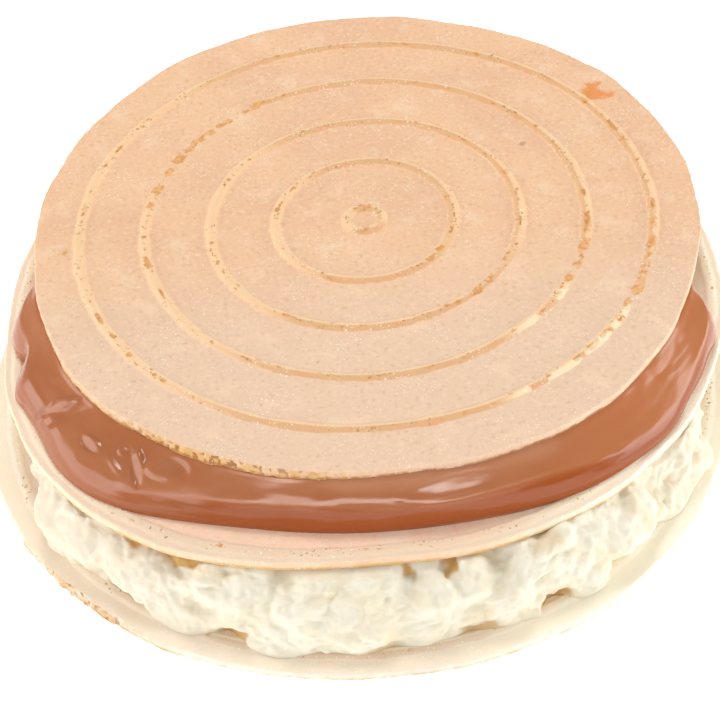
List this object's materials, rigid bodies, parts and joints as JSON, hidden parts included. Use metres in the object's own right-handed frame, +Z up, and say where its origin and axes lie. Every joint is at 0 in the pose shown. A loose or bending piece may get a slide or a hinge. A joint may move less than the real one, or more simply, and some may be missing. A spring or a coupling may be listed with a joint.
{
  "type": "filled wafer",
  "caption": "Round filled wafer: thin ridged wafers stacked a little out of line, with glossy caramel above and whipped cream below; a sweet snack to hold and bite.",
  "frame": {"origin": "centre of the base wafer's underside, on the surface that the wafer rests on", "axes": "+Z up through the stack, +X to the right and -Y to the front, where the lower layers stand out furthest"},
  "size_m": [0.1503, 0.1594, 0.0305],
  "materials": {
    "wafer": "dry baked wafer, pale peach with tan ridges and fine pale specks",
    "caramel": "smooth glossy milk caramel, brown with soft highlights",
    "cream": "soft whipped cream, ivory, craggy and slightly moist"
  },
  "bodies": {
    "root": {"wafer_base": "wafer", "cream_filling": "cream", "wafer_middle": "wafer", "caramel_filling": "caramel", "wafer_top": "wafer"}
  },
  "joints": []
}
